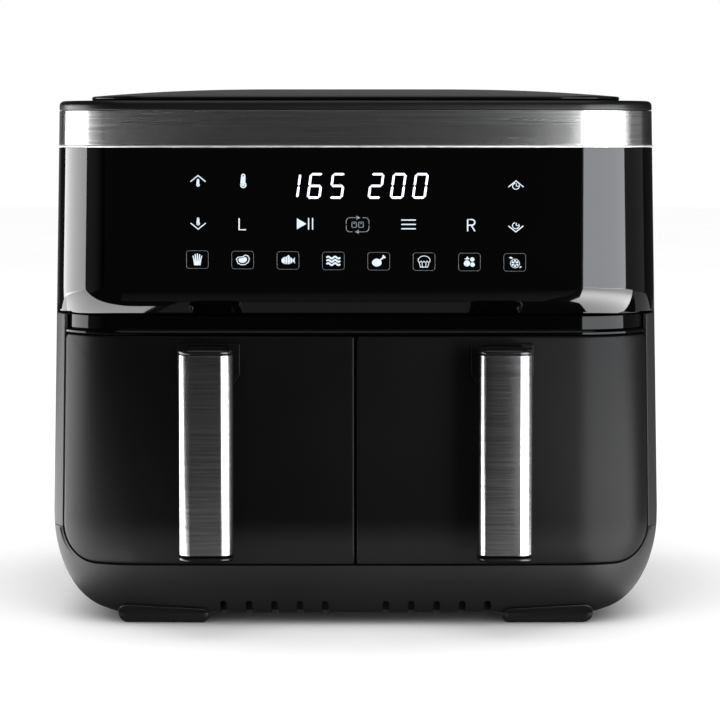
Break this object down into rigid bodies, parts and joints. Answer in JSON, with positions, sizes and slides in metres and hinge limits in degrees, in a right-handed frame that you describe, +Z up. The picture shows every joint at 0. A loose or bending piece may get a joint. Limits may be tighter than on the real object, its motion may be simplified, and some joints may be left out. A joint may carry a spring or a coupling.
{
  "type": "air fryer",
  "caption": "Wide air fryer with two side-by-side drawers on vertical steel-clad handles, a glossy touch panel and a brushed steel band under a domed lid plate.",
  "frame": {"origin": "on the table, under the middle of the whole bounding box", "axes": "+Z up, -Y towards the person in front, +X to that person's right"},
  "size_m": [0.388, 0.366, 0.3383],
  "materials": {
    "housing_black": "fine moulded texture, satin",
    "drawer_black": "fine moulded texture, satin",
    "gloss_black": "piano gloss",
    "grip_black": "smooth, half gloss",
    "inner_black": "plain moulded",
    "brushed_band": "brushed along its length",
    "brushed_handle": "brushed across the handle",
    "bright_steel": "drawn and polished",
    "coated_steel": "non-stick coating, faint speckle",
    "plated_sheet": "aluminised sheet",
    "heater_sheath": "heat-tinted sheath",
    "fan_aluminium": "stamped",
    "rubber_black": "matte",
    "board_green": "solder mask",
    "pale_nylon": "moulded",
    "display_glow": "lit symbols behind the gloss panel"
  },
  "bodies": {
    "housing": {"base_shell": "housing_black", "foot_front_left": "rubber_black", "foot_front_right": "rubber_black", "foot_rear_left": "rubber_black", "foot_rear_right": "rubber_black", "left_side_panel": "housing_black", "right_side_panel": "housing_black", "rear_cover": "housing_black", "cord_gland": "rubber_black", "front_frame": "inner_black", "lower_fascia": "gloss_black", "control_panel": "gloss_black", "display_board": "board_green", "trim_band": "brushed_band", "top_rim": "housing_black", "top_lid": "gloss_black", "power_board": "board_green", "left_cavity_liner": "plated_sheet", "left_heater_hood": "plated_sheet", "left_element_guard": "bright_steel", "left_heating_element": "heater_sheath", "left_fan_motor": "plated_sheet", "left_drawer_switch": "inner_black", "right_cavity_liner": "plated_sheet", "right_heater_hood": "plated_sheet", "right_element_guard": "bright_steel", "right_heating_element": "heater_sheath", "right_fan_motor": "plated_sheet", "right_drawer_switch": "inner_black"},
    "left_fan": {"left_motor_shaft": "bright_steel", "left_convection_fan": "fan_aluminium", "left_cooling_fan": "pale_nylon"},
    "left_plunger": {"left_switch_plunger": "pale_nylon"},
    "left_drawer": {"left_drawer_front": "drawer_black", "left_drawer_inner_panel": "inner_black", "left_pan": "coated_steel", "left_handle_pad": "drawer_black", "left_handle_grip": "grip_black", "left_handle_trim": "brushed_handle"},
    "left_crisper": {"left_crisper_plate": "coated_steel", "left_bumper_front_inner": "rubber_black", "left_bumper_front_outer": "rubber_black", "left_bumper_rear_inner": "rubber_black", "left_bumper_rear_outer": "rubber_black"},
    "right_fan": {"right_motor_shaft": "bright_steel", "right_convection_fan": "fan_aluminium", "right_cooling_fan": "pale_nylon"},
    "right_plunger": {"right_switch_plunger": "pale_nylon"},
    "right_drawer": {"right_drawer_front": "drawer_black", "right_drawer_inner_panel": "inner_black", "right_pan": "coated_steel", "right_handle_pad": "drawer_black", "right_handle_grip": "grip_black", "right_handle_trim": "brushed_handle"},
    "right_crisper": {"right_crisper_plate": "coated_steel", "right_bumper_front_inner": "rubber_black", "right_bumper_front_outer": "rubber_black", "right_bumper_rear_inner": "rubber_black", "right_bumper_rear_outer": "rubber_black"}
  },
  "joints": [
    {"name": "left_drawer_slide", "type": "slide", "parent": "housing", "child": "left_drawer", "axis": [0, -1, 0], "range_m": [0, 0.235]},
    {"name": "left_crisper_lift", "type": "slide", "parent": "left_drawer", "child": "left_crisper", "axis": [0, 0, 1], "range_m": [0, 0.1]},
    {"name": "left_fan_spin", "type": "hinge", "parent": "housing", "child": "left_fan", "pos_m": [-0.091, 0.022, 0.25], "axis": [0, 0, 1], "continuous": true},
    {"name": "left_plunger_travel", "type": "slide", "parent": "housing", "child": "left_plunger", "axis": [0, 1, 0], "range_m": [0, 0.0015], "stiffness_N_per_m": 150, "springref_m": -0.001},
    {"name": "right_drawer_slide", "type": "slide", "parent": "housing", "child": "right_drawer", "axis": [0, -1, 0], "range_m": [0, 0.235]},
    {"name": "right_crisper_lift", "type": "slide", "parent": "right_drawer", "child": "right_crisper", "axis": [0, 0, 1], "range_m": [0, 0.1]},
    {"name": "right_fan_spin", "type": "hinge", "parent": "housing", "child": "right_fan", "pos_m": [0.091, 0.022, 0.25], "axis": [0, 0, 1], "continuous": true},
    {"name": "right_plunger_travel", "type": "slide", "parent": "housing", "child": "right_plunger", "axis": [0, 1, 0], "range_m": [0, 0.0015], "stiffness_N_per_m": 150, "springref_m": -0.001}
  ]
}
